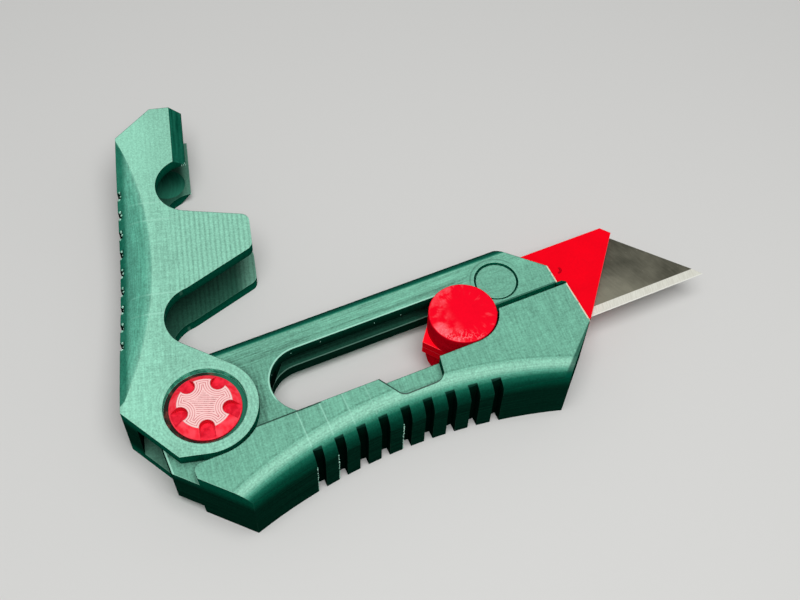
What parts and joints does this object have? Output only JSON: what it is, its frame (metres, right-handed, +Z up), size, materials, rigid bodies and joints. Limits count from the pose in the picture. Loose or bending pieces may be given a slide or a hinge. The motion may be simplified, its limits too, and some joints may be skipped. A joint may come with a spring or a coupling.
{
  "type": "folding utility knife",
  "caption": "Folding utility knife with a sliding blade carrier: a slotted grip frame and a hinged cover turn on one pivot pin, and the knob locks in the cover's notch.",
  "frame": {"origin": "on the pivot axis, in the plane of the flat lower face that the knife rests on", "axes": "+X along the rail towards the blade, +Y towards the side where the spine lies with the knife folded shut, +Z up out of the face with the pin head; stored with the cover open and the blade out"},
  "size_m": [0.1462, 0.1157, 0.0189],
  "materials": {
    "green_print": "layered print, silky sheen",
    "red_print": "layered print, satin",
    "blade_steel": "dark oiled body with a bright honed bevel",
    "magnet_plating": "nickel plate"
  },
  "bodies": {
    "frame": {"frame": "green_print", "pivot_pin": "red_print", "pivot_nut": "red_print", "magnet_disc_upper": "green_print", "magnet_disc_lower": "green_print", "frame_magnet_upper": "magnet_plating", "frame_magnet_lower": "magnet_plating"},
    "cover": {"cover": "green_print", "cover_magnet_upper": "magnet_plating", "cover_magnet_lower": "magnet_plating"},
    "carrier": {"carrier_upper": "red_print", "carrier_lower": "red_print", "knob_upper": "red_print", "knob_lower": "red_print", "blade": "blade_steel"}
  },
  "joints": [
    {"name": "cover_fold", "type": "hinge", "parent": "frame", "child": "cover", "pos_m": [0, 0, 0.009], "axis": [0, 0, 1], "range_deg": [-75, 15]},
    {"name": "blade_slide", "type": "slide", "parent": "frame", "child": "carrier", "axis": [1, 0, 0], "range_m": [-0.04, 0]}
  ]
}
